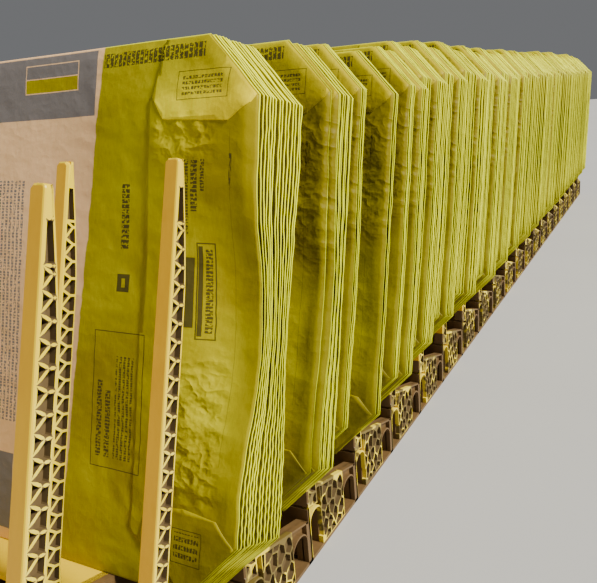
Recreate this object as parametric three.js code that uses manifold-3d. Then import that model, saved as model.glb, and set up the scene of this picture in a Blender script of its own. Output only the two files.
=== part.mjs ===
// A magazine row of empty paper valve sacks, standing on edge in moulded finger carriers.
// Millimetres, +Z up. The row runs along +Y, away from its front; the sacks lie along X.
import * as THREE from 'three';
import { mergeVertices } from 'three/addons/utils/BufferGeometryUtils.js';
import Module from 'manifold-3d';

// Row
const bundleCount = 21;                 // pockets that hold a bundle of sacks
const emptyInFront = 1;                 // carriers before the first bundle
const pitch = 125;                      // from one carrier to the next
const seatGap = 0.3;                    // clearance between pieces that touch
const lean = THREE.MathUtils.degToRad(16);   // sacks and fingers lean back along the row

// Sacks
const sackWidth = 480;                  // flat tube width, stands upright
const sackLength = 570;
const cornerCut = { along: 50, up: 54 };     // folded corners of the pasted ends
const sacksPerBundle = 14;
const bundleThickness = 54;             // at the pasted ends, where the sacks are thickest
const grooveDepth = 1.4;                // gap between the rounded edges of two sacks
const sidewaysCreep = 0.28;             // each sack lies this share of its thickness further right

// Carriers
const baseHeight = 80;                  // seat height where the front sack stands
const ribThickness = 14;
const outerRibX = 253;
const innerRibX = 143;
const outerRibDrop = 13;                // the outer ribs end this far below the seat
const plateThickness = 4;
const wallHeight = 65;                  // front wall, just under the seat of the carrier before
const fingerHeight = 368;               // above the seat line
const fingerRootDepth = 21;
const fingerTopDepth = 10;
const fingerRootWidth = 16;
const fingerTopWidth = 13;
const fingerInset = 4;                  // finger front behind the carrier's front wall
const arches = [                        // arched openings through each outer rib, front to back
  { front: 5, width: 26, height: 56 },
  { front: 89, width: 31, height: 44 },
];

const carrierLength = pitch - seatGap;
const slope = Math.tan(lean);
const bundleRun = bundleThickness / Math.cos(lean);          // bundle thickness measured level
const bundleBackY = pitch + fingerInset - seatGap / Math.cos(lean);   // at the seat line
const bundleFrontY = bundleBackY - bundleRun;
const seatDrop = seatGap / Math.cos(lean);

const paper = new THREE.MeshStandardMaterial({ color: 0xb9b32c, roughness: 0.75, metalness: 0 });
const plastic = new THREE.MeshStandardMaterial({ color: 0xd9a63a, roughness: 0.55, metalness: 0 });

const wasm = await Module();
wasm.setup();

function toManifold(geometry) {
  const bare = geometry.index ? geometry.toNonIndexed() : geometry.clone();
  bare.deleteAttribute('normal');
  bare.deleteAttribute('uv');
  const merged = mergeVertices(bare, 1e-4);
  return new wasm.Manifold(new wasm.Mesh({
    numProp: 3,
    vertProperties: new Float32Array(merged.attributes.position.array),
    triVerts: new Uint32Array(merged.index.array),
  }));
}

function toGeometry(manifold) {
  const mesh = manifold.getMesh();
  const geometry = new THREE.BufferGeometry();
  geometry.setAttribute('position', new THREE.BufferAttribute(new Float32Array(mesh.vertProperties), 3));
  geometry.setIndex(new THREE.BufferAttribute(new Uint32Array(mesh.triVerts), 1));
  geometry.computeVertexNormals();
  return geometry;
}

function polygon(points) {
  return new THREE.Shape(points.map(([a, b]) => new THREE.Vector2(a, b)));
}

// Height of the seat line at a distance behind the carrier's front
function seatHeight(y) {
  return baseHeight - seatDrop - (y - bundleFrontY) * slope;
}

// One bundle: the outline of a flat sack drawn out to the bundle's thickness,
// with a groove between each two sacks on all its edges.
function bundleGeometry() {
  const half = sackLength / 2;
  const { along, up } = cornerCut;
  const outline = polygon([
    [-half + along, 0], [half - along, 0], [half, up], [half, sackWidth - up],
    [half - along, sackWidth], [-half + along, sackWidth], [-half, sackWidth - up], [-half, up],
  ]);
  const steps = sacksPerBundle * 2;
  const geometry = new THREE.ExtrudeGeometry(outline, { depth: bundleThickness, steps, bevelEnabled: false });
  const position = geometry.attributes.position;
  const middle = sackWidth / 2;
  for (let i = 0; i < position.count; i += 1) {
    const depth = position.getZ(i);
    const ring = Math.round(depth / bundleThickness * steps);
    const inset = ring % 2 === 0 ? grooveDepth : 0;
    const creep = (bundleThickness / 2 - depth) * sidewaysCreep;
    position.setX(i, position.getX(i) * (1 - inset / half) + creep);
    position.setY(i, middle + (position.getY(i) - middle) * (1 - inset / middle));
  }
  return toGeometry(toManifold(geometry));
}

// Solid with a constant outline in the Y-Z plane, between two distances along X
function sideProfile(points, x0, x1) {
  const prism = new THREE.ExtrudeGeometry(polygon(points), { depth: x1 - x0, bevelEnabled: false });
  prism.applyMatrix4(new THREE.Matrix4().makeBasis(
    new THREE.Vector3(0, 1, 0), new THREE.Vector3(0, 0, 1), new THREE.Vector3(1, 0, 0)));
  prism.translate(x0, 0, 0);
  return toManifold(prism);
}

// Arched opening with its foot on the floor plate
function archCut({ front, width, height }, x) {
  const shoulder = height - width / 3;
  return sideProfile([
    [front, plateThickness], [front + width, plateThickness], [front + width, shoulder],
    [front + width / 2, height], [front, shoulder],
  ], x - ribThickness, x + ribThickness);
}

// Upright rib of the base; the outer ribs are lower and arched
function ribSolid(x, drop, openings) {
  const seatStart = fingerInset + fingerRootDepth;
  const rib = sideProfile([
    [0, 0], [carrierLength, 0], [carrierLength, seatHeight(carrierLength) - drop],
    [seatStart, seatHeight(seatStart) - drop], [0, wallHeight],
  ], x - ribThickness / 2, x + ribThickness / 2);
  return openings.reduce((cut, arch) => cut.subtract(archCut(arch, x)), rib);
}

// Finger: rounded top, narrower and thinner towards the top, leaning with the sacks
function fingerSolid(x) {
  const rootSink = 12;                  // how far the finger runs down into its rib
  const topZ = baseHeight + fingerHeight;
  const rootZ = baseHeight - rootSink;
  const topHalf = fingerTopWidth / 2;
  const face = new THREE.Shape();
  face.moveTo(-fingerRootWidth / 2, rootZ);
  face.lineTo(fingerRootWidth / 2, rootZ);
  face.absarc(0, topZ - topHalf, topHalf, 0, Math.PI, false);
  const finger = new THREE.ExtrudeGeometry(face, { depth: 1, steps: 1, bevelEnabled: false, curveSegments: 2 });
  const position = finger.attributes.position;
  for (let i = 0; i < position.count; i += 1) {
    const z = position.getY(i);
    const share = (z - rootZ) / (topZ - rootZ);
    const depth = THREE.MathUtils.lerp(fingerRootDepth, fingerTopDepth, share);
    const front = position.getZ(i) > 0.5;
    const y = fingerInset + (z - baseHeight) * slope + (front ? 0 : depth);
    position.setXYZ(i, x + position.getX(i), y, z);
  }
  return toManifold(finger);
}

function boxSolid(x0, x1, y0, y1, z0, z1) {
  const box = new THREE.BoxGeometry(x1 - x0, y1 - y0, z1 - z0);
  box.translate((x0 + x1) / 2, (y0 + y1) / 2, (z0 + z1) / 2);
  return toManifold(box);
}

// Seat plate between the inner ribs, square to the leaning sacks
function seatSolid() {
  const front = fingerInset + fingerRootDepth;
  return sideProfile([
    [front, seatHeight(front) - plateThickness],
    [carrierLength, seatHeight(carrierLength) - plateThickness],
    [carrierLength, seatHeight(carrierLength)], [front, seatHeight(front)],
  ], -innerRibX, innerRibX);
}

// One moulded carrier: floor plate, front wall, seat plate, four ribs, each with its finger
function carrierGeometry() {
  const side = outerRibX + ribThickness / 2;
  let carrier = boxSolid(-side, side, 0, carrierLength, 0, plateThickness);
  carrier = carrier.add(boxSolid(-side, side, 0, plateThickness, 0, wallHeight));
  carrier = carrier.add(seatSolid());
  for (const x of [-outerRibX, outerRibX]) {
    carrier = carrier.add(ribSolid(x, outerRibDrop, arches)).add(fingerSolid(x));
  }
  for (const x of [-innerRibX, innerRibX]) {
    carrier = carrier.add(ribSolid(x, 0, [])).add(fingerSolid(x));
  }
  return toGeometry(carrier);
}

const carrierShape = carrierGeometry();
const bundleShape = bundleGeometry();
const carrierCount = bundleCount + emptyInFront + 1;
const bundleBackFoot = bundleFrontY + bundleThickness * Math.cos(lean);   // back face at its foot
const bundleTopBack = bundleBackFoot + (sackWidth - grooveDepth) * Math.sin(lean);
const rowLength = (carrierCount - 2) * pitch + bundleTopBack;

const row = new THREE.Group();
row.position.y = -rowLength / 2;        // origin under the middle of the row

for (let i = 0; i < carrierCount; i += 1) {
  const carrier = new THREE.Mesh(carrierShape, plastic);
  carrier.name = `finger_carrier_${String(i + 1).padStart(2, '0')}`;
  carrier.position.y = i * pitch;
  row.add(carrier);
}

for (let i = 0; i < bundleCount; i += 1) {
  const bundle = new THREE.Mesh(bundleShape, paper);
  bundle.name = `sack_bundle_${String(i + 1).padStart(2, '0')}`;
  const pocket = i + emptyInFront;
  // the drawn outline starts at the back face of the bundle
  bundle.rotation.x = Math.PI / 2 - lean;
  bundle.position.set(0, pocket * pitch + bundleBackFoot, baseHeight - bundleThickness * Math.sin(lean));
  row.add(bundle);
}

export default row;
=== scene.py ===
# Row of empty paper valve sacks, stood on edge in moulded finger carriers
import math
import random

import bmesh
import bpy
from mathutils import Matrix, Vector, noise


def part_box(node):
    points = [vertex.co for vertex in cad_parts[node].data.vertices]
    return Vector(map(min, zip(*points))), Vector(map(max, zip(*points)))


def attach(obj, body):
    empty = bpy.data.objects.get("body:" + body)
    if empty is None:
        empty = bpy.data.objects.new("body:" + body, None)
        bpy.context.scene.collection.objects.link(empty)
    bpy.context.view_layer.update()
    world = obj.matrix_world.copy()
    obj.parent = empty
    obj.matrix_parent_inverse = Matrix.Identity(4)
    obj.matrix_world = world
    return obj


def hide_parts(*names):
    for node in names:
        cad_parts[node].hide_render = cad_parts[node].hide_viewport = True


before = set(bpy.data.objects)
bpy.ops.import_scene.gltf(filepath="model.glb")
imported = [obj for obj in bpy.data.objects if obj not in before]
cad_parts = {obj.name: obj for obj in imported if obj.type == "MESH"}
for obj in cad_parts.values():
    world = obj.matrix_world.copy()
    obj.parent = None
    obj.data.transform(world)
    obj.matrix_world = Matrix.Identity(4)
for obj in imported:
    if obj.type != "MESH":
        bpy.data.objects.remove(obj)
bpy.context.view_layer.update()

mm = 0.001
row = {
    "pitch": 125 * mm,  # carrier to carrier
    "carrierLength": 124.7 * mm,
    "lean": math.radians(16),  # sacks and fingers lean back
    "seat": 80 * mm,  # seat height at the front sack
}
slope = math.tan(row["lean"])
carrierNodes = sorted(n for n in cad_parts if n.startswith("finger_carrier"))
bundleNodes = sorted(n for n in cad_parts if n.startswith("sack_bundle"))
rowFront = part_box(carrierNodes[0])[0].y
print(f"frame: {len(carrierNodes)} carriers, {len(bundleNodes)} bundles")


# Shader sums: a Wire is a socket that takes part in them
class Wire:
    def __init__(self, tree, socket):
        self.tree = tree
        self.socket = socket

    def make(self, kind, settings, inputs, output=0):
        node = self.tree.nodes.new(kind)
        for name, value in settings.items():
            setattr(node, name, value)
        for name, value in inputs.items():
            if isinstance(value, Wire):
                self.tree.links.new(value.socket, node.inputs[name])
            else:
                node.inputs[name].default_value = value
        return Wire(self.tree, node.outputs[output])

    def math(self, operation, *others):
        return self.make("ShaderNodeMath", {"operation": operation}, dict(enumerate((self, *others))))

    def __add__(self, other):
        return self.math("ADD", other)

    __radd__ = __add__

    def __sub__(self, other):
        return self.math("SUBTRACT", other)

    def __rsub__(self, first):
        return self.make("ShaderNodeMath", {"operation": "SUBTRACT"}, {0: first, 1: self})

    def __mul__(self, other):
        return self.math("MULTIPLY", other)

    def __truediv__(self, other):
        return self.math("DIVIDE", other)

    def __gt__(self, other):
        return self.math("GREATER_THAN", other)

    def __lt__(self, other):
        return self.math("LESS_THAN", other)

    def clamp(self):
        return self.make("ShaderNodeClamp", {}, {"Value": self})

    def noise(self, scale, detail, rough=0.5):
        return self.make("ShaderNodeTexNoise", {}, {
            "Vector": self, "Scale": scale, "Detail": detail, "Roughness": rough})

    def stretched(self, x, y, z):
        return self.make("ShaderNodeMapping", {}, {"Vector": self, "Scale": (x, y, z)})

    def parts(self):
        first = self.make("ShaderNodeSeparateXYZ", {}, {"Vector": self})
        outputs = first.socket.node.outputs
        return [Wire(self.tree, outputs[i]) for i in range(3)]

    def between(self, low, high):  # 0 below low, 1 above high
        return self.make("ShaderNodeMapRange", {}, {"Value": self, "From Min": low, "From Max": high})

    def blend(self, first, second):  # colours, this wire is the factor
        return self.make("ShaderNodeMix", {"data_type": "RGBA"}, {0: self, 6: first, 7: second}, 2)


def newMaterial(name):
    material = bpy.data.materials.new(name)
    material.use_nodes = True
    tree = material.node_tree
    shader = tree.nodes["Principled BSDF"]
    return material, Wire(tree, None), shader


def connect(shader, **wires):
    for name, wire in wires.items():
        shader.id_data.links.new(wire.socket, shader.inputs[name.replace("_", " ")])


def rgb(red, green, blue):  # a colour picked on screen, as light
    return tuple((part / 255) ** 2.2 for part in (red, green, blue)) + (1.0,)


def inside(u, w, left, right, low, high):
    return (u > left) * (u < right) * (w > low) * (w < high)


# Sacks: flat tubes with folded and pasted ends. u runs along a sack, w up it, depth towards the front
sack = {
    "half": 285 * mm,  # half its length
    "width": 480 * mm,
    "cutAlong": 50 * mm,  # the corners are folded off
    "cutUp": 54 * mm,
    "step": 54 / 14 * mm,  # from one sack to the next in the solids
    "solidInset": 1.4 * mm,  # a solid's back ends this far below its top fold
    "fill": 0.2,  # half a sack's thickness at its fold, as a share of the way to the next
    "middleHalf": 0.8 * mm,  # the same at its middle, as a thickness
    "middleShare": 0.6,  # how far a sack comes to that
    "rimRound": 1.3 * mm,
    "rimLeast": 0.03,
    "backRim": 19 * mm,  # hidden backs are plain further in than this
    "creep": 0.28,  # a sack is shifted left by this share of its depth
    "slipFrom": 27 * mm,
    "panelLayer": 0.9 * mm,
    "patchLayer": 0.8 * mm,
    "layerSink": 1.3,  # a layer's foot lies this many layers below its top
    "footMark": 0.5,
}
slant = math.hypot(sack["cutAlong"], sack["cutUp"])

# Paper of the sacks
paperLook = {
    "ink": rgb(200, 195, 8),
    "inkDark": rgb(150, 135, 2),
    "inkWornAndLit": rgb(240, 246, 34),
    "kraft": rgb(255, 210, 154),
    "kraftDark": rgb(232, 184, 132),
    "print": rgb(66, 60, 36),
    "printOnKraft": rgb(98, 103, 110),
    "printStrength": 0.9,
    "roughness": 0.52,
    "specular": 0.12,
    "bump": 1.2 * mm,
    "wornAndLit": (0.3 * mm, 0.9 * mm),  # the ink is rubbed thin, with a painted highlight, up to here from a fold
    "wornAndLitUp": (20 * mm, 70 * mm),  # and less so at the foot, as painted shade
    "wornAndLitFoot": 0.34,
    "gap": (0.5 * mm, 1.3 * mm),  # shade is painted on the paper between two folds from here
    "gapDark": 0.5,
    "gapEnd": 4 * mm,  # and darker painted shade at the ends of the sacks
    "gapEndDark": 0.32,
    "gapLow": (120 * mm, 200 * mm),  # the painted gap shade has the first share below this, and the second more above
    "gapFoot": 0.76,
    "gapAbove": 0.36,
    "gapHigh": (300 * mm, 410 * mm),  # and this share less near the top
    "gapTop": 0.5,
    "border": 87 * mm,  # the ink starts here at the foot, and further right above
    "borderSlope": 0.062,
    "borderUneven": 4 * mm,
    "borderSoft": 0.6 * mm,
    "label": (16 * mm, 85 * mm, 444 * mm, 457 * mm),  # left, right, low, high of an inked bar
}


def foldDistance(u, w):  # from the end of the sheet, and from its outline
    s = sack
    along = s["half"] - u.math("ABSOLUTE")
    low = w.math("MINIMUM", s["width"] - w)
    corner = (along * s["cutUp"] + low * s["cutAlong"] - s["cutAlong"] * s["cutUp"]) / slant
    return along, along.math("MINIMUM", low).math("MINIMUM", corner)


def paperMaterial():
    look = paperLook
    material, start, shader = newMaterial("valve sack paper")
    sheet = start.make("ShaderNodeUVMap", {"uv_map": "sheet"}, {})
    u, w = sheet.parts()[:2]
    tags = ("printed", "toneAndPaintedLight", "gap", "crumple")
    face, toneAndPaintedLight, gap, crumple = (
        start.make("ShaderNodeAttribute", {"attribute_name": tag}, {}, 2) for tag in tags)
    along, away = foldDistance(u, w)
    foot, soft = look["wornAndLitFoot"], look["borderSoft"]
    # rubbed ink at the folds with a painted highlight there, less at the foot as painted shade
    wearAndHighlight = (1 - away.between(*look["wornAndLit"])) * (foot + w.between(*look["wornAndLitUp"]) * (1 - foot))
    # painted shade on the paper between two folds, darker at the sack ends
    dark = look["gapDark"] + (along < look["gapEnd"]) * look["gapEndDark"]
    depth = away.between(*look["gap"]) * gap * dark
    depth = depth * (look["gapFoot"] + w.between(*look["gapLow"]) * look["gapAbove"])
    depth = depth * (1 - w.between(*look["gapHigh"]) * look["gapTop"])
    cloud = sheet.noise(9, 3)
    grain = sheet.stretched(1, 0.25, 1).noise(420, 3, 0.7)
    crinkle = sheet.noise(70, 5, 0.6)
    border = look["border"] + w * look["borderSlope"] + (sheet.noise(60, 2) - 0.5) * look["borderUneven"]
    label = inside(u, w, *look["label"]) * face
    inked = ((u - border).between(-soft, soft) + label).clamp()
    inkMix = (cloud - 0.35) * 1.6 + (grain - 0.5) * 0.5
    ink = inkMix.clamp().blend(look["inkDark"], look["ink"])
    kraft = (grain * 0.8 + cloud * 0.4 - 0.1).clamp().blend(look["kraftDark"], look["kraft"])
    colour = inked.blend(kraft, ink)
    colour = (wearAndHighlight * (0.55 + crinkle * 0.9) * inked).clamp().blend(colour, look["inkWornAndLit"])
    mark = printMask(u, w, sheet, grain) * face * (1 - wearAndHighlight) * look["printStrength"]
    colour = mark.clamp().blend(colour, inked.blend(look["printOnKraft"], look["print"]))
    # painted light and shade from the sheets' tags, with painted shade in the gaps
    light = toneAndPaintedLight * (1 - depth)
    shade = light.make("ShaderNodeCombineColor", {}, {0: light, 1: light, 2: light})
    colour = start.make("ShaderNodeMix", {"data_type": "RGBA", "blend_type": "MULTIPLY"},
                        {0: 1.0, 6: colour, 7: shade}, 2)
    rough = look["roughness"] + (grain - 0.5) * 0.2
    folds = (sheet.stretched(1, 1.6, 1).noise(26, 2, 0.4) - 0.5).math("ABSOLUTE")
    folds = folds + (sheet.noise(75, 2, 0.4) - 0.5).math("ABSOLUTE") * 0.5
    height = crinkle * 0.35 + grain * 0.08 - folds * crumple * 9
    bump = start.make("ShaderNodeBump", {}, {"Strength": 0.9, "Distance": look["bump"], "Height": height})
    connect(shader, Base_Color=colour, Roughness=rough, Normal=bump)
    shader.inputs["Specular IOR Level"].default_value = look["specular"]
    return material


# Printed marks: bars, boxes and rows of short dashes that can't be read; places and periods in mm
def printMask(u, w, sheet, grain):
    def bar(left, right, low, high):
        return inside(u, w, left * mm, right * mm, low * mm, high * mm)

    def box(left, right, low, high, line):
        return bar(left, right, low, high) - bar(left + line, right - line, low + line, high - line)

    def words(area, along, period):  # one row of marks with gaps between them
        return area * ((along / (period * mm)).math("FRACT") < 0.8) * (blots > 0.43)

    def lines(area, along, across, period, run):
        return words(area * ((across / (period * mm)).math("FRACT") < 0.6), along, run)

    blots = sheet.noise(380, 1)
    mask = box(206, 258, 424, 449, 0.7)
    mask += lines(bar(211, 252, 428, 445), u, w, 4.6, 3.2)
    mask += words(bar(216, 221, 312, 374), w, 2.6) + words(bar(223.5, 230, 331, 374), w, 3.4)
    mask += words(bar(233, 237, 348, 374), w, 2.4)
    mask += bar(216, 227, 232, 292) + box(229, 246, 222, 305, 1.1)
    mask += words(bar(237, 243, 228, 300), w, 3) + bar(230.5, 234.5, 225, 302)
    mask += box(121, 180, 96, 222, 0.9) + words(bar(127, 133, 106, 176), w, 3)
    mask += words(bar(137, 143, 106, 168), w, 3) + lines(bar(148, 168, 106, 200), w, u, 4.6, 2.2)
    mask += words(bar(147, 156, 296, 355), w, 4.5) + bar(144, 158, 258, 274) - bar(149, 153, 262, 270)
    mask += box(220, 251, 30, 60, 0.7) + lines(bar(223, 248, 33, 57), u, w, 7, 3)
    mask += bar(-60, 109, 418, 478) - bar(15, 86, 443, 471) + bar(16, 85, 458, 470)
    mask += bar(-60, 19, 12, 88) + lines(bar(-60, 22, 120, 360), w, u, 5.5, 3)
    mask += words(bar(118, 232, 460, 473), u, 5) + bar(261.6, 262.2, 118, 398) * 0.4
    seamFleck = bar(261, 263.5, 345, 378) * (grain > 0.5)
    return (mask + seamFleck).clamp()


# Moulded plastic of the carriers, a kind for each slot: colour, deeper colour, share of dust, roughness
plasticKinds = {
    "face": (rgb(255, 198, 18), rgb(232, 168, 8), 0.0, 0.42),
    "rim": (rgb(238, 210, 4), rgb(228, 194, 0), 0.36, 0.5),
    # cells: the brown of dirt and painted shade
    "hollowDirtAndShade": (rgb(112, 92, 52), rgb(78, 62, 38), 0.06, 0.75),
    # base: the brown of dirt and painted shade on the base and low on the fingers
    "base": (rgb(122, 94, 52), rgb(88, 66, 38), 0.1, 0.6),
    "edge": (rgb(238, 204, 0), rgb(226, 188, 0), -0.2, 0.35),
}
faceSlot, rimSlot, hollowDirtAndShadeSlot, baseDirtAndShadeSlot, edgeSlot = range(len(plasticKinds))
plasticLook = {
    "dust": rgb(255, 240, 116),
    "dustCover": 0.9,
    "dustHeights": (460 * mm, 300 * mm),  # a kind's share comes in here, downwards
    "dustRough": 0.3,
    "stain": rgb(78, 62, 38),
    "stainCover": 2.5,
    "stainHeights": (105 * mm, 70 * mm),  # and brown stains here
    "bump": 0.5 * mm,
}


def plasticMaterial(name, first, second, dustShare, roughness):
    look = plasticLook
    material, start, shader = newMaterial(f"moulded plastic {name}")
    place = start.make("ShaderNodeTexCoord", {}, {}, "Object")
    cloud = place.noise(18, 4, 0.6)
    speck = place.noise(900, 3, 0.7)
    streak = place.stretched(1, 1, 0.12).noise(160, 3, 0.6)
    colour = (cloud * 0.7 + streak * 0.6 - 0.2).clamp().blend(second, first)
    height = place.parts()[2]
    settled = height.between(*look["dustHeights"]) * dustShare
    dust = ((cloud * 0.5 + speck * 0.6 + streak * 0.3 - 0.98 + settled) * 2.5).clamp()
    colour = (dust * look["dustCover"]).blend(colour, look["dust"])
    stain = (height.between(*look["stainHeights"]) * (place.noise(30, 3, 0.6) - 0.45) * 16).clamp()
    colour = (stain * max(0, dustShare) * look["stainCover"]).blend(colour, look["stain"])
    rough = roughness + dust * look["dustRough"]
    grain = speck * 0.3 + streak * 0.5 + dust * 0.4
    bump = start.make("ShaderNodeBump", {}, {"Strength": 0.25, "Distance": look["bump"], "Height": grain})
    connect(shader, Base_Color=colour, Roughness=rough, Normal=bump)
    return material


paper = paperMaterial()
plastics = [plasticMaterial(name, *kind) for name, kind in plasticKinds.items()]
print("materials made")


def meshOf(bm, name="template"):
    mesh = bpy.data.meshes.new(name)
    bm.to_mesh(mesh)
    bm.free()
    return mesh


def addObject(name, data):
    made = bpy.data.objects.new(name, data)
    bpy.context.scene.collection.objects.link(made)
    return made


def finish(bm, name, materials, replaced):
    mesh = meshOf(bm, name)
    for material in materials:
        mesh.materials.append(material)
    piece = addObject(name, mesh)
    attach(piece, "root")
    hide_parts(replaced)


def newVerts(out):  # of an extrusion
    return [item for item in out["geom"] if isinstance(item, bmesh.types.BMVert)]


def turnOutward(bm, face, axis):  # all faces, so that this one looks along the axis
    bmesh.ops.recalc_face_normals(bm, faces=bm.faces[:])
    if face.normal[axis] < 0:
        bmesh.ops.reverse_faces(bm, faces=bm.faces[:])


def cutAway(bm, place, outward):  # all that lies beyond a plane
    geom = bm.verts[:] + bm.edges[:] + bm.faces[:]
    bmesh.ops.bisect_plane(bm, geom=geom, dist=1e-6, plane_co=place, plane_no=outward, clear_outer=True)


def roundEdges(bm, edges, size, segments, material):
    bmesh.ops.bevel(bm, geom=edges, offset=size, offset_type="OFFSET", segments=segments, profile=0.5,
                    affect="EDGES", material=material)


# Fingers: flanges front and back, a web between, and ribs that leave blind cells
finger = {
    "height": 368 * mm,
    "rootSink": 12 * mm,
    "inset": 4 * mm,
    "bodyDepth": 17 * mm,
    "tipDepth": 6.2 * mm,
    "taper": 95 * mm,  # length of the slimmer top
    "forwardTip": 3 * mm,  # the finger stands this far before the sacks' plane
    "forwardFoot": 12.5 * mm,
    "root": 57 * mm,  # length of the stouter root
    "rootMore": 4 * mm,
    "rootWidth": 16 * mm,
    "topWidth": 13 * mm,
    "frontFlange": 1.9 * mm,
    "backFlange": 0.9 * mm,
    "period": 13.2 * mm,  # from one rib to the next
    "joint": 8.4 * mm,  # where the ribs meet, behind the front flange
    "jointShare": 0.72,  # and no further back than this share of the inside
    "rise": 0.65,  # and how far up a period
    "slot": 26 * mm,  # long cell under the tip
    "tip": 19 * mm,
    "ribHalf": 1.1 * mm,
    "cellDepth": 5.4 * mm,
    "cornerRound": 1.5 * mm,
    "cornerFill": 3.2 * mm,  # the web that fills the narrow corner of a back cell
    "tipRound": 2.8 * mm,
    "edgeRound": 1.4 * mm,
    "backRound": 0.8 * mm,
    "dirtAndShadeUp": 6 * mm,  # brown of dirt and painted shade up to here above the seat
    "taperBend": 1.3,
    "narrow": math.radians(100),  # the two walls of a cell's narrow corner turn by more than this
    "flat": math.radians(0.6),  # plain fingers lose the edges that are flatter
}


def sinkCells(bm, cells, rib, depth, rounded):  # each face becomes a blind cell, depth along X
    bmesh.ops.inset_individual(bm, faces=cells, thickness=rib, use_even_offset=True)
    floors = bmesh.ops.extrude_discrete_faces(bm, faces=cells)["faces"]
    walls = set()
    for face in floors:
        bmesh.ops.translate(bm, verts=face.verts, vec=(-depth, 0, 0))
        for edge in face.edges:
            walls |= set(edge.link_faces)
    # cell walls and floors take the brown of dirt and painted shade
    for face in walls:
        face.material_index = hollowDirtAndShadeSlot
    if rounded:
        corners = {}
        for face in floors:
            for v in face.verts:
                edge = next(e for e in v.link_edges if e not in face.edges)
                narrow = len(face.verts) > 4 and edge.calc_face_angle(0) > finger["narrow"]
                corners.setdefault(finger["cornerFill"] if narrow else rounded, []).append(edge)
        for size, edges in corners.items():
            roundEdges(bm, [e for e in edges if e.is_valid], size, 2, hollowDirtAndShadeSlot)


def fingerHalf(celled, rounded):  # the half with X above 0, open at X = 0
    f = finger
    rootZ = row["seat"] - f["rootSink"]
    topZ = row["seat"] + f["height"]
    latticeTop = topZ - f["tip"] - f["slot"]
    periods = int((latticeTop - rootZ) / f["period"])
    heights = [rootZ]
    heights += [latticeTop - f["period"] * (periods - k) for k in range(periods + 1)]
    heights += [topZ - f["tip"], topZ]
    last = len(heights) - 1
    bm = bmesh.new()
    bmesh.ops.create_grid(bm, x_segments=4, y_segments=last, size=1)
    net = {}
    for v in bm.verts:
        net[round((v.co.x + 1) * 2), round((v.co.y + 1) / 2 * last)] = v
    for (column, level), v in net.items():
        z = heights[level]
        if column in (2, 3) and 0 < level < last - 2:
            z += f["period"] * f["rise"]
        share = (z - rootZ) / (topZ - rootZ)
        stout = 1 - min(1, (z - rootZ) / f["root"])
        slim = max(0, 1 - (topZ - z) / f["taper"]) ** f["taperBend"]
        depth = f["bodyDepth"] + f["rootMore"] * stout - (f["bodyDepth"] - f["tipDepth"]) * slim
        forward = (f["forwardFoot"] + (f["forwardTip"] - f["forwardFoot"]) * share) * (1 - stout)
        inner = depth - f["frontFlange"] - f["backFlange"]
        joint = min(f["joint"], inner * f["jointShare"])
        across = (0, f["frontFlange"], f["frontFlange"] + joint, depth - f["backFlange"], depth)
        width = f["rootWidth"] + (f["topWidth"] - f["rootWidth"]) * share
        y = f["inset"] - forward + (z - row["seat"]) * slope + across[column]
        v.co = (width / 2, y, z - across[column] * slope)
    for level in range(1, last - 2):
        bmesh.ops.connect_vert_pair(bm, verts=[net[1, level + 1], net[2, level]])
    middle = {net[2, level] for level in range(1, last)}
    bmesh.ops.dissolve_edges(bm, edges=[e for e in bm.edges if set(e.verts) <= middle])
    flanges = {net[column, level] for column in (0, 4) for level in range(last + 1)}
    flanges |= {net[1, 0], net[1, last]}
    cells = [face for face in bm.faces if not flanges & set(face.verts)]
    for face in bm.faces:
        face.material_index = rimSlot
    out = bmesh.ops.extrude_edge_only(bm, edges=[e for e in bm.edges if e.is_boundary])
    for v in newVerts(out):
        v.co.x = 0
    turnOutward(bm, cells[0], 0)
    for face in bm.faces:
        if abs(face.normal.x) < 0.5:
            face.material_index = faceSlot
    if celled:
        sinkCells(bm, cells, f["ribHalf"], f["cellDepth"], f["cornerRound"] if rounded else 0)
    tips = {net[column, last] for column in range(5)}
    top = [e for e in bm.edges if set(e.verts) <= tips]
    roundEdges(bm, top, f["tipRound"], 3 if rounded else 1, edgeSlot)
    for side, radius in ((-1, f["edgeRound"]), (1, f["backRound"])):
        outline = [e for e in bm.edges if len(e.link_faces) == 2 and min(v.co.z for v in e.verts) > rootZ + mm
                   and [face.normal.y * side > 0.8 for face in e.link_faces].count(True) == 1
                   and not any(face.material_index == hollowDirtAndShadeSlot for face in e.link_faces)]
        roundEdges(bm, outline, radius, 2 if rounded else 1, edgeSlot)
    # low faces take the brown of dirt and painted shade
    for face in bm.faces:
        low = face.calc_center_median().z < row["seat"] + f["dirtAndShadeUp"]
        if low and face.material_index in (faceSlot, edgeSlot):
            face.material_index = baseDirtAndShadeSlot
    if not celled:
        bmesh.ops.dissolve_limit(bm, angle_limit=f["flat"], verts=bm.verts[:], edges=bm.edges[:],
                                 delimit={"MATERIAL"})
    return bm


def addHalf(bm, half, at, side):  # a copy of a half, turned to one side of X = at
    start = len(bm.verts)
    faceStart = len(bm.faces)
    bm.from_mesh(half)
    bm.verts.ensure_lookup_table()
    bm.faces.ensure_lookup_table()
    for v in bm.verts[start:]:
        v.co.x = at + side * v.co.x
    if side < 0:
        bmesh.ops.reverse_faces(bm, faces=bm.faces[faceStart:])


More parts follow.
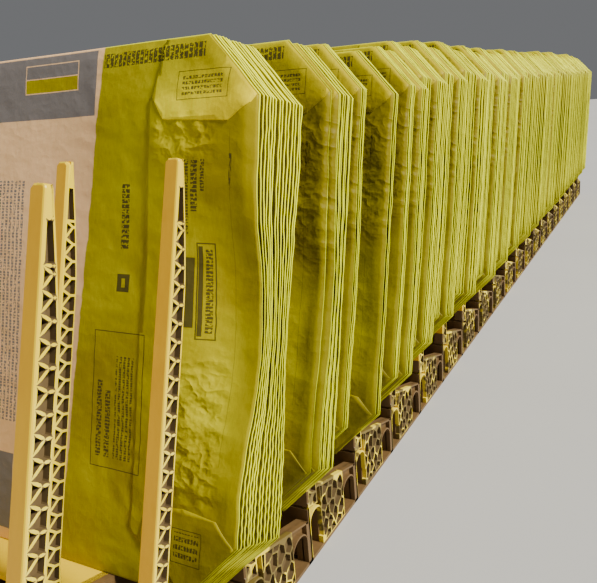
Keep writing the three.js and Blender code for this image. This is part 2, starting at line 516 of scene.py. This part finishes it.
# Base of a carrier: floor plate, front wall, seat plate, ribs; the outer ribs have arches and cells
base = {
    "outerRib": 253 * mm,
    "innerRib": 143 * mm,
    "ribHalf": 7 * mm,
    "core": 1.5 * mm,  # the outer rib is solid up to here, cells further out
    "outerDrop": 13 * mm,  # of its top, below the seat
    "plate": 4 * mm,
    "wall": 65 * mm,
    "behindFace": 1 * mm,  # the ribs start inside the front wall
    "arches": ((5 * mm, 31 * mm, 56 * mm), (89 * mm, 120 * mm, 44 * mm)),  # front, back, height
    "archRise": 0.75,  # of a half circle's
    "archSteps": 12,
    "archLip": (-0.2 * mm, 1.8 * mm),  # the rim along an arch, from and to
    "pocketFront": 72.512 * mm,
    "seatDrop": 0.312 * mm,  # of the seat, below the sacks
    "fingerBack": 25 * mm,
    "cell": 8.2 * mm,  # radius of a six-sided cell
    "cellRows": 8,
    "cellStretch": 1.3,
    "cellUneven": 2.6 * mm,
    "cellRib": 0.9 * mm,
    "cellDeep": 0.9,  # of the way to the core
    "cellLeast": 50 * mm * mm,  # smaller cells stay closed
    "cellsClosed": 0.12,  # and so does this share of the others
    "flange": 2.2 * mm,
}


def seatHeight(y):
    return row["seat"] - base["seatDrop"] - (y - base["pocketFront"]) * slope


def crownHeight(y, drop):  # top of a rib
    if y > base["fingerBack"]:
        return seatHeight(y) - drop
    share = y / base["fingerBack"]
    return base["wall"] + (seatHeight(base["fingerBack"]) - drop - base["wall"]) * share


def slab(bm, places, lowAt, highAt, left, right, material):  # solid between two heights
    made = bmesh.ops.create_grid(bm, x_segments=len(places) - 1, y_segments=1, size=1)["verts"]
    for v in made:
        y = places[round((v.co.x + 1) / 2 * (len(places) - 1))]
        v.co = (left, y, highAt(y) if v.co.y > 0 else lowAt(y))
    faces = list({face for v in made for face in v.link_faces})
    out = bmesh.ops.extrude_face_region(bm, geom=faces, use_keep_orig=True)
    copied = newVerts(out)
    bmesh.ops.translate(bm, verts=copied, vec=(right - left, 0, 0))
    faces = list({face for v in made + copied for face in v.link_faces})
    bmesh.ops.recalc_face_normals(bm, faces=faces)
    for face in faces:
        face.material_index = material


def level(height):
    return lambda y: height


def cellBlock(low, high):  # six-sided blind cells on the outer face, from low to high along the row
    b = base
    bm = bmesh.new()
    across = math.sqrt(3) * b["cell"]
    tall = b["cell"] * b["cellStretch"]
    rng = random.Random(5)
    upright = Matrix(((0, 0, 1, 0), (1, 0, 0, 0), (0, 1, 0, 0), (0, 0, 0, 1)))
    for i in range(int((high - low) / across) + 2):
        for k in range(b["cellRows"]):
            place = Matrix.Translation((0, low + across * (i + (k % 2) / 2), b["plate"] + k * 1.5 * tall))
            place = place @ Matrix.Scale(b["cellStretch"], 4, (0, 0, 1))
            bmesh.ops.create_circle(bm, cap_ends=True, segments=6, radius=b["cell"], matrix=place @ upright)
    bmesh.ops.remove_doubles(bm, verts=bm.verts[:], dist=0.1 * mm)
    for v in bm.verts:
        v.co.y += rng.uniform(-1, 1) * b["cellUneven"]
        v.co.z += rng.uniform(-1, 1) * b["cellUneven"]
    crown = Vector((0, high, crownHeight(high, b["outerDrop"]) - b["flange"]))
    cuts = [
        ((0, low, 0), (0, -1, 0)),
        ((0, high, 0), (0, 1, 0)),
        ((0, 0, b["plate"]), (0, 0, -1)),
        (crown, (0, slope, 1)),
    ]
    for place, outward in cuts:
        cutAway(bm, place, outward)
    bmesh.ops.extrude_edge_only(bm, edges=[e for e in bm.edges if e.is_boundary])
    depth = b["ribHalf"] - b["core"]
    for v in bm.verts:
        if v.is_boundary:
            v.co.x = -depth
    flat = [face for face in bm.faces if max(abs(v.co.x) for v in face.verts) < 1e-7]
    turnOutward(bm, flat[0], 0)
    for face in bm.faces:
        face.material_index = rimSlot
    wide = [face for face in flat if face.calc_area() > b["cellLeast"] and rng.random() > b["cellsClosed"]]
    sinkCells(bm, wide, b["cellRib"], depth * b["cellDeep"], 0)
    return bm


def ribsHalf():  # the base's ribs with X above 0
    b = base
    bm = bmesh.new()
    length = row["carrierLength"]
    inner, outer, half = b["innerRib"], b["outerRib"], b["ribHalf"]
    frontArch, backArch = b["arches"]
    lipLow, lipHigh = b["archLip"]
    crown = lambda y: crownHeight(y, b["outerDrop"])
    stops = [b["behindFace"]]
    for front, back, height in b["arches"]:
        middle, reach = (front + back) / 2, (back - front) / 2
        rise = reach * b["archRise"]
        arch = lambda y: height - rise * (1 - math.sqrt(max(0, 1 - ((y - middle) / reach) ** 2)))
        places = [middle - reach * math.cos(math.pi * k / b["archSteps"]) for k in range(b["archSteps"] + 1)]
        slab(bm, places, arch, crown, outer - half, outer + b["core"], baseDirtAndShadeSlot)
        slab(bm, places, lambda y: arch(y) + lipLow, lambda y: arch(y) + lipHigh, outer, outer + half,
             rimSlot if front == frontArch[0] else baseDirtAndShadeSlot)
        stops += [front, back]
    stops += [length]
    for front, back in zip(stops[0::2], stops[1::2]):
        slab(bm, [front, back], level(0), crown, outer - half, outer + b["core"], baseDirtAndShadeSlot)
    places = [b["behindFace"], b["fingerBack"], length]
    for span, slot in ((places[:2] + [backArch[0]], rimSlot), ([backArch[0], length], baseDirtAndShadeSlot)):
        slab(bm, span, lambda y: crown(y) - b["flange"], crown, outer, outer + half, slot)
    slab(bm, places, level(0), lambda y: crownHeight(y, 0), inner - half, inner + half, baseDirtAndShadeSlot)
    for front, back, slot in ((b["behindFace"], frontArch[0], rimSlot), (backArch[1], length, baseDirtAndShadeSlot)):
        slab(bm, [front, back], level(0), crown, outer, outer + half, slot)
    addHalf(bm, meshOf(cellBlock(frontArch[1], backArch[0])), outer + half, 1)
    return bm


fingerFine = meshOf(fingerHalf(True, True))
fingerCells = meshOf(fingerHalf(True, False))
fingerPlain = meshOf(fingerHalf(False, False))
ribs = meshOf(ribsHalf())
counts = ", ".join(str(len(half.vertices)) for half in (fingerFine, fingerCells, ribs))
print(f"finger halves and ribs: {counts}")


def fingerSide(index, outside, side):  # half a finger: fine where the photo shows it near
    if side > 0 and (index == 0 or index == 1 and outside):
        return fingerFine
    shown = index in (0, 1, len(carrierNodes) - 1)
    return fingerCells if shown or outside else fingerPlain


def carrier(index):
    b = base
    bm = bmesh.new()
    length = row["carrierLength"]
    side = b["outerRib"] + b["ribHalf"]
    for half in (1, -1):
        addHalf(bm, ribs, 0, half)
        for rib in (b["outerRib"], b["innerRib"]):
            for turn in (half, -half):
                outside = rib == b["outerRib"] and turn == half
                addHalf(bm, fingerSide(index, outside, turn), rib * half, turn)
    slab(bm, [0, length], level(0), level(b["plate"]), -side, side, baseDirtAndShadeSlot)
    slab(bm, [0, b["plate"]], level(0), level(b["wall"]), -side, side, baseDirtAndShadeSlot)
    slab(bm, [b["fingerBack"], length], lambda y: seatHeight(y) - b["plate"], seatHeight,
         -b["innerRib"], b["innerRib"], edgeSlot)
    if index == 0:  # at the front of the row, the front faces keep the plastic's own colour, without the brown of dirt and painted shade
        for face in bm.faces:
            if face.normal.y < -0.5 and face.material_index == baseDirtAndShadeSlot:
                face.material_index = faceSlot
    bmesh.ops.translate(bm, verts=bm.verts[:], vec=(0, rowFront + row["pitch"] * index, 0))
    finish(bm, f"moulded_carrier_{index + 1:02d}", plastics, carrierNodes[index])


for index in range(len(carrierNodes)):
    carrier(index)
print("carriers made")


# Sheets of the sacks, made flat as templates: X and Y are u and w, Z marks the side or the layer's foot
def edgeDistance(u, w):
    s = sack
    along = s["half"] - abs(u)
    low = min(w, s["width"] - w)
    corner = (along * s["cutUp"] + low * s["cutAlong"] - s["cutAlong"] * s["cutUp"]) / slant
    return min(along, low, corner)


def smooth(low, high, value):
    share = min(1.0, max(0.0, (value - low) / (high - low)))
    return share * share * (3 - 2 * share)


def hump(rise, fall, value):  # from 0 up to 1 over the first range, and back to 0 over the second
    return smooth(*rise, value) * (1 - smooth(*fall, value))


def addLayers(bm):  # tags that the paper material reads, and the flat sheet as UV
    uv = bm.loops.layers.uv.new("sheet")
    for tag in ("toneAndPaintedLight", "gap", "crumple"):
        bm.verts.layers.float.new(tag)
    printed = bm.verts.layers.float.new("printed")
    for v in bm.verts:
        v[printed] = 1.0 if v.co.z > 0 else 0.0
    for face in bm.faces:
        face.smooth = True
        for loop in face.loops:
            loop[uv].uv = loop.vert.co.xy


def closeSack(bm, backDetail=True):  # a front sheet gets its back; z marks the side, 1 or -1
    out = bmesh.ops.extrude_face_region(bm, geom=bm.faces[:], use_keep_orig=True)
    copied = set(newVerts(out))
    for v in bm.verts:
        v.co.z = 1.0 if v in copied else -1.0
    if not backDetail:
        hidden = [face for face in bm.faces if all(
            v.co.z < 0 and edgeDistance(v.co.x, v.co.y) > sack["backRim"] for v in face.verts)]
        bmesh.ops.dissolve_faces(bm, faces=hidden)
    bmesh.ops.recalc_face_normals(bm, faces=bm.faces[:])
    addLayers(bm)
    return meshOf(bm)


def insetOctagon(inset):  # corners of the outline, drawn in on all sides
    s = sack
    low = s["cutUp"] + inset * (slant - s["cutUp"]) / s["cutAlong"]
    side = s["half"] - s["cutAlong"] - inset * (slant - s["cutAlong"]) / s["cutUp"]
    right, high, width = s["half"] - inset, s["width"] - low, s["width"]
    corners = [(right, low), (right, high), (side, width - inset), (-side, width - inset),
               (-right, high), (-right, low), (-side, inset), (side, inset)]
    return [Vector(corner) for corner in corners]


def ringSack(right, top, left, rings):  # only the edge is fine; spacings of the outline's points
    corners = insetOctagon(0)
    cut = 1.5  # the cut corners take wider steps
    spacings = (right, right * cut, top, left * cut, left, left * cut, top, right * cut)
    places = []
    for k, spacing in enumerate(spacings):
        count = max(1, round((corners[(k + 1) % 8] - corners[k]).length / (spacing * mm)))
        places += [(k, i / count) for i in range(count)]
    bm = bmesh.new()
    bmesh.ops.create_grid(bm, x_segments=len(places), y_segments=len(rings) - 1, size=1)
    for v in bm.verts:
        k, part = places[round((v.co.x + 1) / 2 * len(places)) % len(places)]
        ring = round((v.co.y + 1) / 2 * (len(rings) - 1))
        corners = insetOctagon(rings[ring] * mm)
        v.co = corners[k].lerp(corners[(k + 1) % 8], part).to_3d()
    bmesh.ops.remove_doubles(bm, verts=bm.verts[:], dist=1e-6)
    hole = [e for e in bm.edges if e.is_boundary and edgeDistance(*e.verts[0].co.xy) > mm]
    bmesh.ops.edgeloop_fill(bm, edges=hole)
    return closeSack(bm)


def spaced(start, end, spacing):
    count = max(1, round((end - start) / spacing))
    return [start + (end - start) * k / count for k in range(count)]


def gridSack(rightStep, leftStep, rowStep, backDetail=False):  # a whole sheet that can take creases
    s = sack
    half, width = s["half"] / mm, s["width"] / mm
    rim, even, split = [0, 0.5, 1.4, 4], 8, 90  # lines from the outline; finer right of the split
    columns = [r - half for r in rim] + spaced(even - half, split, leftStep)
    columns += spaced(split, half - even, rightStep) + [half - even] + [half - r for r in reversed(rim)]
    rows = rim + spaced(even, width - even, rowStep) + [width - even] + [width - r for r in reversed(rim)]
    bm = bmesh.new()
    bmesh.ops.create_grid(bm, x_segments=len(columns) - 1, y_segments=len(rows) - 1, size=1)
    for v in bm.verts:
        u = columns[round((v.co.x + 1) / 2 * (len(columns) - 1))] * mm
        w = rows[round((v.co.y + 1) / 2 * (len(rows) - 1))] * mm
        over = max(0.0, abs(u) - s["half"] + s["cutAlong"]) / s["cutAlong"]
        low = s["cutUp"] * over
        v.co = (u, low + w / s["width"] * (s["width"] - 2 * low), 0)
    return closeSack(bm, backDetail)


def overlay(outline, spacing):  # a pasted layer: a grid cut to a convex outline, in mm
    points = [Vector(p) * mm for p in outline]
    middle = sum(points, Vector((0, 0))) / len(points)
    reach = max((p - middle).length for p in points)
    count = round(2 * reach / (spacing * mm))
    bm = bmesh.new()
    bmesh.ops.create_grid(bm, x_segments=count, y_segments=count, size=reach,
                          matrix=Matrix.Translation(middle.to_3d()))
    for k, start in enumerate(points):
        along = points[(k + 1) % len(points)] - start
        outward = Vector((-along.y, along.x, 0))
        if outward.xy.dot(middle - start) > 0:
            outward.negate()
        cutAway(bm, start.to_3d(), outward)
    for v in bm.verts:
        v.co.z = 1.0
    out = bmesh.ops.extrude_edge_only(bm, edges=[e for e in bm.edges if e.is_boundary])
    for v in newVerts(out):
        v.co.z = sack["footMark"]
    turnOutward(bm, max(bm.faces, key=lambda face: face.calc_area()), 2)
    addLayers(bm)
    return meshOf(bm)


# Outlines of the end panel and its corner patches, right end, in mm; the left end mirrors them, coarser
outlines = {
    "panel": [(176, 427), (233, 479), (283.8, 425), (283.8, 55), (233, 1), (173, 48)],
    "top": [(180, 428), (189, 478.6), (234, 478.6), (283, 426), (279, 419), (260, 405), (193, 409)],
    "low": [(184, 44), (192, 72), (230, 77), (264, 73), (279, 57), (282, 53), (234, 1.6)],
}
mirrorStep = 13


def covers(step):  # templates of the layers, for both ends
    made = {}
    for name, outline in outlines.items():
        made[name, 1] = overlay(outline, step)
        made[name, -1] = overlay([(-u, w) for u, w in outline], max(step, mirrorStep))
    return made


# Steps in mm: ring sack's right, top, left and rings; grid sack's right, left and rows; layers
detail = {
    "near": ((2.8, 16, 14, (0, 0.5, 1.5, 5, 16, 80)), (4, 9, 4), 4.5),
    "second": ((3.4, 20, 14, (0, 0.5, 1.6, 6, 16, 80)), (6, 24, 6), 6),
    "mid": ((5, 28, 24, (0, 0.6, 4, 16, 80)), (8, 30, 8), 9),
    "far": ((19, 56, 48, (0, 0.8, 8, 80)), (15, 48, 15), 18),
}
levels = {}
for name, (ringSteps, gridSteps, layerStep) in detail.items():
    levels[name] = (ringSack(*ringSteps), gridSack(*gridSteps), covers(layerStep))
lastSack = gridSack(15, 24, 15, True)  # its back shows behind the row
for name, (inner, whole, cover) in levels.items():
    print(name, len(inner.polygons), len(whole.polygons), len(cover["panel", 1].polygons))


# Shape of a bundle's ends: pinched at mid height, creased in steps, with fine waves at the folds
fold = {
    "end": (203 * mm, 278 * mm),  # from the middle of a sack: its end, with all that follows
    "pinchFrom": (85 * mm, 215 * mm),
    "pinchTo": (235 * mm, 375 * mm),
    "held": (259 * mm, 276 * mm),  # the fingers hold the back up to here
    "bodyFoot": 15 * mm,  # and this far forward at its foot
    "footHeight": 440 * mm,
    "leaning": 12 * mm,  # only a group whose back is nearer to them leans on them
    "slack": 4 * mm,
    "waveShare": 0.15,  # of the step between two sacks
    "wavePeriod": 12.5 * mm,
    "longPeriod": 31 * mm,
    "longShare": 0.5,
    "waveBend": 2.5,
    "waveFade": (3 * mm, 15 * mm),  # from the outline
    "waveEnd": (200 * mm, 260 * mm),
    "waveTop": (190 * mm, 260 * mm),  # short waves up to here, long ones above
    "waveTopUneven": 50 * mm,
    "common": 1.3 * mm,  # bends that all sacks of a group share
    "sideways": 0.7 * mm,
    "jitter": 0.9 * mm,
    "crease": 4 * mm,
    "creaseStep": (30 * mm, 85 * mm),
    "creaseOut": (0.6, 1),
    "creaseIn": (0, 0.25),
    "reliefEnd": (60 * mm, 190 * mm),  # from the middle of a sack
    "tilt": 0.16,  # creases run down towards the end
    "tiltFrom": 230 * mm,
    "tiltUneven": 12 * mm,
    "crestFrom": (270 * mm, 405 * mm),
    "crestTo": (412 * mm, 478 * mm),
}


def creaseNodes(rng):  # places up the sack and how far each fold stands out
    nodes, w, out = [(-0.02, 0)], 0.0, True
    while w < sack["width"] + 20 * mm:
        w += rng.uniform(*fold["creaseStep"])
        nodes.append((w, rng.uniform(*fold["creaseOut" if out else "creaseIn"])))
        out = not out
    return nodes


def creaseAt(nodes, w):
    for (low, first), (high, second) in zip(nodes, nodes[1:]):
        if w < high:
            return first + (second - first) * max(0, w - low) / (high - low)
    return nodes[-1][1]


def relief(u, w, away, form):  # creases and wrinkles of a leading sheet
    f, seed = fold, form["seed"]
    end = smooth(*f["reliefEnd"], abs(u))
    tilted = w + f["tilt"] * (abs(u) - f["tiltFrom"])
    tilted += f["tiltUneven"] * noise.noise(Vector((u * 22, w * 9, seed)))
    crease = creaseAt(form["creases"], tilted) * form["crease"] * end
    sharp = 1 - 2 * abs(noise.noise(Vector((u * 44 + w * 12, w * 62 + u * 15, seed + 7))))
    fine = 1 - 2 * abs(noise.noise(Vector((u * 105, w * 135, seed + 2))))
    broad = noise.noise(Vector((u * 7, w * 5, seed)))
    crumple = form["crumple"](u, w)
    crest = form["crest"] * hump(f["crestFrom"], f["crestTo"], w) * end
    height = 0.6 + broad * 1.6 + sharp * (0.35 * end + 0.15 + 1.5 * crumple) + fine * 0.5 * crumple
    return (crease + height * mm + crest) * smooth(0, form["fall"], away)


# Crumpled places of leading sheets, in the first bundle and elsewhere: ranges along u, and up w
crumpled = {
    "plain": 0.15,
    "upper": 0.4,  # under the top patch
    "upperEnd": (140 * mm, 190 * mm),
    "upperRise": (240 * mm, 300 * mm),
    "upperFall": (395 * mm, 415 * mm),
    "firstPlain": 0.1,
    "firstPlaces": (  # around the seam near the foot, and under the top patch
        ((188 * mm, 205 * mm), (245 * mm, 268 * mm), (72 * mm, 95 * mm), (175 * mm, 225 * mm)),
        ((180 * mm, 192 * mm), (228 * mm, 252 * mm), (366 * mm, 385 * mm), (405 * mm, 412 * mm)),
    ),
}


def upperCrumple(u, w):
    c = crumpled
    return c["plain"] + c["upper"] * hump(c["upperRise"], c["upperFall"], w) * smooth(*c["upperEnd"], abs(u))


def firstCrumple(u, w):
    total = crumpled["firstPlain"]
    for left, right, low, high in crumpled["firstPlaces"]:
        total += hump(left, right, u) * hump(low, high, w)
    return total


def waveAt(u, w, away, form, share):  # at the folds, in steps from sack to sack
    f, seed = fold, form["seed"]
    edge = (1 - smooth(*f["waveFade"], away)) * smooth(*f["waveEnd"], abs(u))
    bend = f["waveBend"] * noise.noise(Vector((w * 21, seed, 0.5)))
    uneven = f["waveTopUneven"] * noise.noise(Vector((w * 9, seed, share)))
    low = 1 - smooth(*f["waveTop"], w + uneven)
    short = math.sin((w / f["wavePeriod"] + form["phase"]) * math.tau + bend)
    long = math.sin((w / f["longPeriod"] + form["phase"]) * math.tau + bend) * f["longShare"]
    wave = short * (0.2 + 0.8 * low) + long * (1 - low) if form["fine"] else long
    return wave * edge * f["waveShare"]


def sackAt(u, w, away, end, form, share):  # depth of a sack's middle, and half its thickness
    s, f = sack, fold
    front, back, frontMid, backMid = form["spread"]
    squeeze = hump(f["pinchFrom"], f["pinchTo"], w) * end
    held = 1 - smooth(*f["held"], abs(u))
    foot = f["bodyFoot"] * max(0, 1 - w / f["footHeight"]) * held
    nearFront = front + (frontMid - front) * squeeze
    nearBack = max(back * (1 - held), min(back + f["slack"], nearFront)) + (backMid - back) * squeeze
    nearBack = max(nearBack, foot * (back < f["leaning"]))
    step = (nearFront - nearBack) / form["count"]
    depth = nearBack + step * (share * (form["count"] - 1) + 0.5)
    half = step * s["fill"] + (s["middleHalf"] - step * s["fill"]) * (1 - end) * s["middleShare"]
    rim = 1 - min(1.0, away / s["rimRound"])
    if not form["front"]:
        depth += waveAt(u, w, away, form, share) * step
    return depth, half * math.sqrt(max(s["rimLeast"], 1 - rim * rim))


# Light and shade painted on the sheets, beside the light of the lamps, by ranges of height up the sack
paintedShading = {
    "high": (190 * mm, 240 * mm),  # leading sheets get painted shade above this
    "edge": (5 * mm, 32 * mm),  # and near their outline
    "top": (385 * mm, 435 * mm),  # but less so at the top
    "topLess": 0.75,
    "bright": (200 * mm, 380 * mm),
    "foot": (35 * mm, 95 * mm),
    "footDark": 0.3,
    "crumpleLight": 0.3,
    "glowFrom": (396 * mm, 408 * mm),  # the top patch gets painted light between these
    "glowTo": (420 * mm, 440 * mm),
    "over": (438 * mm, 460 * mm),  # and painted shade above
    "overDark": 0.35,
}


def paintedShadingAt(w, away, end, crumple, form):
    t = paintedShading
    high = smooth(*t["high"], w)
    dim = max(form["dim"] * end * high, form["edgeDim"] * end * (1 - smooth(*t["edge"], away)))
    dim *= 1 - t["topLess"] * smooth(*t["top"], w)
    lit = (1 - dim) * (1 + form["bright"] * smooth(*t["bright"], w))
    lit *= 1 + t["crumpleLight"] * crumple * high - t["footDark"] * end * (1 - smooth(*t["foot"], w))
    lit *= 1 + form["glow"] * (hump(t["glowFrom"], t["glowTo"], w) - t["overDark"] * smooth(*t["over"], w))
    return form["shade"] * lit


def placeSack(bm, mesh, form, share, raised=0.0):  # one sheet, or a layer on it, of a bundle
    s, f, seed = sack, fold, form["seed"]
    start = len(bm.verts)
    bm.from_mesh(mesh)
    bm.verts.ensure_lookup_table()
    toneAndPaintedLight, gap, crumple = (bm.verts.layers.float[tag] for tag in ("toneAndPaintedLight", "gap", "crumple"))
    for v in bm.verts[start:]:
        u, w, mark = v.co
        away = edgeDistance(u, w)
        end = smooth(*f["end"], abs(u))
        z, half = sackAt(u, w, away, end, form, share)
        common = noise.noise(Vector((w * 17, seed, u > 0))) + 0.5 * noise.noise(Vector((w * 45, seed, 4)))
        z += common * f["common"] * end
        if mark > 0:
            z += half
            if form["front"]:
                z += relief(u, w, away, form)
            if raised:
                z += raised if mark > s["footMark"] else raised - s["panelLayer"] * s["layerSink"]
        else:
            z -= half
            if form["back"]:
                z -= relief(u, w, away, form)
        sway = noise.noise(Vector((w * 60, u * 9, seed + form["phase"] * 5))) * f["sideways"]
        v.co = (u + form["shiftU"] + sway, w + form["shiftW"] + sway * 0.4, z)
        wrinkled = form["crumple"](u, w) if form["front"] else 0.0
        v[crumple] = wrinkled
        # painted light and shade, times each sheet's random tone
        v[toneAndPaintedLight] = paintedShadingAt(w, away, end, wrinkled, form)
        # inner sheets take the painted shade between folds
        v[gap] = 0.0 if form["front"] else 1.0


# Leading sacks, of the first bundle and of the others; dim, edgeDim, bright, patchShade and patchGlow are
# painted shade and light
leadLook = {
    "crumple": (firstCrumple, upperCrumple),
    "crest": (4 * mm, 0),
    "fall": (11 * mm, 6 * mm),  # creases and wrinkles fade this near the outline
    "crease": (0.3 * fold["crease"], fold["crease"]),
    "dim": (0, 0.45),
    "edgeDim": (0.24, 0.5),
    "bright": (0.16, 0),  # painted light, on all sacks of the bundle
    "patchShade": (1.36, 1.4),
    "patchGlow": (0.7, 0.1),
}


def bundle(index, levelName, groups):
    s = sack
    rng = random.Random(index * 7 + 3)
    inner, whole, cover = levels[levelName]
    look = {name: pair[min(index, 1)] for name, pair in leadLook.items()}
    bm = bmesh.new()
    lastBundle = index == len(bundleNodes) - 1
    for order, (count, front, back, frontMid, backMid, lift) in enumerate(groups):
        creases = creaseNodes(rng)
        for k in range(count):
            share = 1 - k / max(1, count - 1)
            isFront = k == 0
            isBack = lastBundle and order == len(groups) - 1 and k == count - 1
            depth = (back + (front - back) * share) * mm
            phase = rng.uniform(-0.22, 0.22) + 0.5 * (k % 2) + 0.03 * k
            slip = rng.uniform(-1, 1) * fold["jitter"] * (not isFront)
            form = {
                **look,
                "seed": index * 1.7 + order * 0.37,
                "spread": tuple(part * mm for part in (front, back, frontMid, backMid)),
                "count": count,
                "creases": creases,
                "crumple": look["crumple"] if isFront else upperCrumple,
                "front": isFront,
                "back": isBack,
                "dim": look["dim"] * isFront,
                "edgeDim": look["edgeDim"] * isFront,
                "glow": 0.0,
                "fine": levelName != "far",
                "phase": phase,
                "shiftU": (s["slipFrom"] - depth) * s["creep"] + slip,
                "shiftW": lift * mm + rng.uniform(-0.5, 0.5) * fold["jitter"],
                "shade": 1.0 if isFront else rng.uniform(0.88, 1.04),
            }
            placeSack(bm, lastSack if isBack else whole if isFront else inner, form, share)
            if isFront:
                # the top patch gets more painted light
                patchForm = {**form, "shade": look["patchShade"], "glow": look["patchGlow"]}
                for (name, _), mesh in cover.items():
                    raised = s["panelLayer"] + (s["patchLayer"] if name != "panel" else 0)
                    placeSack(bm, mesh, patchForm if name == "top" else form, share, raised)
    low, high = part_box(bundleNodes[index])
    lean = row["lean"]
    originY = high.y - (s["width"] - s["solidInset"]) * math.sin(lean)
    originZ = low.z - s["step"] / 2 * math.sin(lean)
    stand = Matrix.Translation((0, originY, originZ)) @ Matrix.Rotation(math.pi / 2 - lean, 4, "X")
    bmesh.ops.transform(bm, matrix=stand, verts=bm.verts[:])
    finish(bm, f"sacks_{index + 1:02d}", [paper], bundleNodes[index])


# Per bundle, its groups: sacks, depth of front and back at the ends, the same at mid height, and lift, in mm
bundleGroups = [
    [(14, 48, -5, 25, 2, 0)],
    [(1, 40, 37, 34, 31, 0), (10, 29, 5, 19, 5, 0)],
    [(4, 69, 58, 63, 54, -8), (3, 12, 2, 10, 2, 0)],
    [(5, 48, 36, 44, 34, -2), (5, 22, 4, 19, 4, 0)],
    [(6, 88, 66, 78, 60, -3), (8, 52, 22, 46, 20, 0)],
    [(7, 96, 70, 86, 66, -1), (7, 56, 28, 50, 26, 0)],
    [(9, 99, 62, 88, 58, 0), (7, 50, 20, 46, 20, 0)],
]
seededGroups = {  # ranges for the bundles further back, in mm; two groups in each
    "front": (76, 98),
    "firstCount": (6, 10),
    "secondCount": (6, 9),
    "step": (3.0, 3.8),
    "between": (5, 16),
    "firstPinch": (3, 12),
    "lift": (-4, 1),
    "back": (2, 12),
    "secondPinch": (2, 8),
}
rng = random.Random(11)
while len(bundleGroups) < len(bundleNodes):
    g = seededGroups
    front = rng.uniform(*g["front"])
    first, second = rng.randint(*g["firstCount"]), rng.randint(*g["secondCount"])
    middle = front - first * rng.uniform(*g["step"])
    behind = middle - rng.uniform(*g["between"])
    bundleGroups.append([
        (first, front, middle, front - rng.uniform(*g["firstPinch"]), middle - 2, rng.uniform(*g["lift"])),
        (second, behind, rng.uniform(*g["back"]), behind - rng.uniform(*g["secondPinch"]), 6, 0)])
levelNames = ["near", "second"] + ["mid"] * 5
levelNames += ["far"] * (len(bundleNodes) - len(levelNames))
for index, (levelName, groups) in enumerate(zip(levelNames, bundleGroups)):
    bundle(index, levelName, groups)
print("bundles made")


# Floor, lights and camera
studio = {
    "floorShades": (rgb(178, 177, 174), rgb(185, 184, 181)),
    "floorRoughness": 0.8,
    "floorRadius": 12,
    "sunPower": 7.6,
    "sunAngle": math.radians(16),
    "sunColour": (1.0, 0.97, 0.9),
    "sunFrom": (0.74, 0.06, 0.67),
    "fillPower": 3,
    "fillSize": 2.4,
    "fillColour": (0.97, 0.97, 1.0),
    "fillPlace": (-1.8, -3.6, 1.7),
    "fillTarget": (0, -1.2, 0.3),
    "skyColour": (0.9, 0.92, 0.95, 1),
    "skyPower": 0.18,
}
photoView = {  # the photo's camera as fitted, angles in degrees
    "place": (0.5714, -1.6136, 0.4852),
    "turn": 28.8,
    "down": 16,
    "roll": -4.54,
    "lens": 41.38,
    "sensor": 36,
}


def stageMaterial():
    material, start, shader = newMaterial("pale floor")
    place = start.make("ShaderNodeTexCoord", {}, {}, "Object")
    connect(shader, Base_Color=place.noise(3, 3).blend(*studio["floorShades"]))
    shader.inputs["Roughness"].default_value = studio["floorRoughness"]
    return material


def addLight(kind, name, power, colour, rotation, place=(0, 0, 0)):
    data = bpy.data.lights.new(name, kind)
    data.energy = power
    data.color = colour
    light = addObject(name, data)
    light.location = place
    light.rotation_euler = rotation.to_euler()
    return data


disc = bmesh.new()
bmesh.ops.create_circle(disc, cap_ends=True, segments=96, radius=studio["floorRadius"])
floor = addObject("floor", meshOf(disc, "floor"))
floor.data.materials.append(stageMaterial())

sunTurn = Vector(studio["sunFrom"]).to_track_quat("Z", "Y")
sun = addLight("SUN", "key", studio["sunPower"], studio["sunColour"], sunTurn)
sun.angle = studio["sunAngle"]
fillTurn = (Vector(studio["fillTarget"]) - Vector(studio["fillPlace"])).to_track_quat("-Z", "Y")
fill = addLight("AREA", "fill", studio["fillPower"], studio["fillColour"], fillTurn, studio["fillPlace"])
fill.shape = "SQUARE"
fill.size = studio["fillSize"]
world = bpy.data.worlds.new("studio")
world.use_nodes = True
sky = world.node_tree.nodes["Background"].inputs
sky["Color"].default_value = studio["skyColour"]
sky["Strength"].default_value = studio["skyPower"]
bpy.context.scene.world = world

cameraData = bpy.data.cameras.new("camera")
cameraData.lens = photoView["lens"]
cameraData.sensor_width = photoView["sensor"]
camera = addObject("camera", cameraData)
turn = Matrix.Rotation(math.radians(photoView["turn"]), 4, "Z")
turn = turn @ Matrix.Rotation(math.radians(90 - photoView["down"]), 4, "X")
turn = turn @ Matrix.Rotation(math.radians(photoView["roll"]), 4, "Z")
camera.matrix_world = Matrix.Translation(photoView["place"]) @ turn
bpy.context.scene.camera = camera
